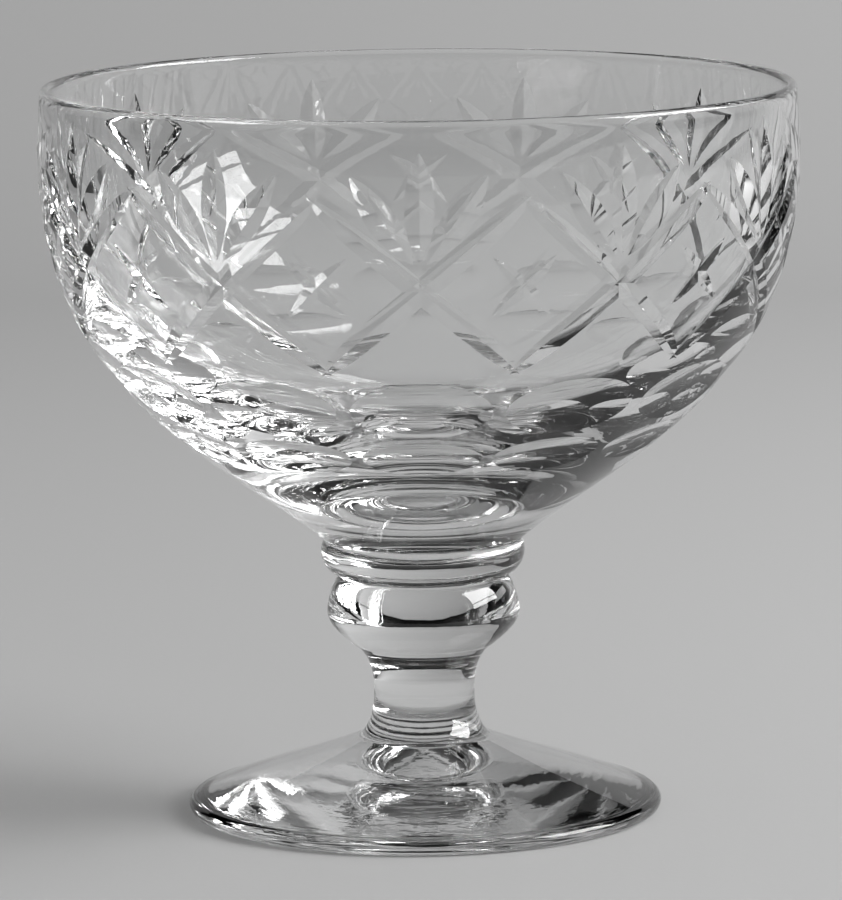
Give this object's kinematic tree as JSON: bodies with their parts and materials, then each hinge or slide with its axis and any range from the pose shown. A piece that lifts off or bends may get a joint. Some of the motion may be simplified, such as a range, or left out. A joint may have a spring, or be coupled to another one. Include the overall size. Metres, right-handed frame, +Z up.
{
  "type": "sherbet glass",
  "caption": "Footed clear glass dessert bowl with a hemispherical cut bowl of crossed mitres, fans and ovals on a knopped stem and round domed foot.",
  "frame": {"origin": "centre of the foot's resting ring, on the surface the glass stands on", "axes": "+Z up along the axis of the foot, stem and bowl; -Y is the side that faces the camera in the picture"},
  "size_m": [0.0956, 0.0955, 0.0925],
  "materials": {
    "foot_glass": "fire-polished clear glass",
    "stem_glass": "fire-polished clear glass",
    "collar_glass": "fire-polished clear glass",
    "bowl_glass": "clear glass with polished wheel cutting"
  },
  "bodies": {
    "root": {"foot": "foot_glass", "stem": "stem_glass", "collar": "collar_glass", "bowl": "bowl_glass"}
  },
  "joints": []
}
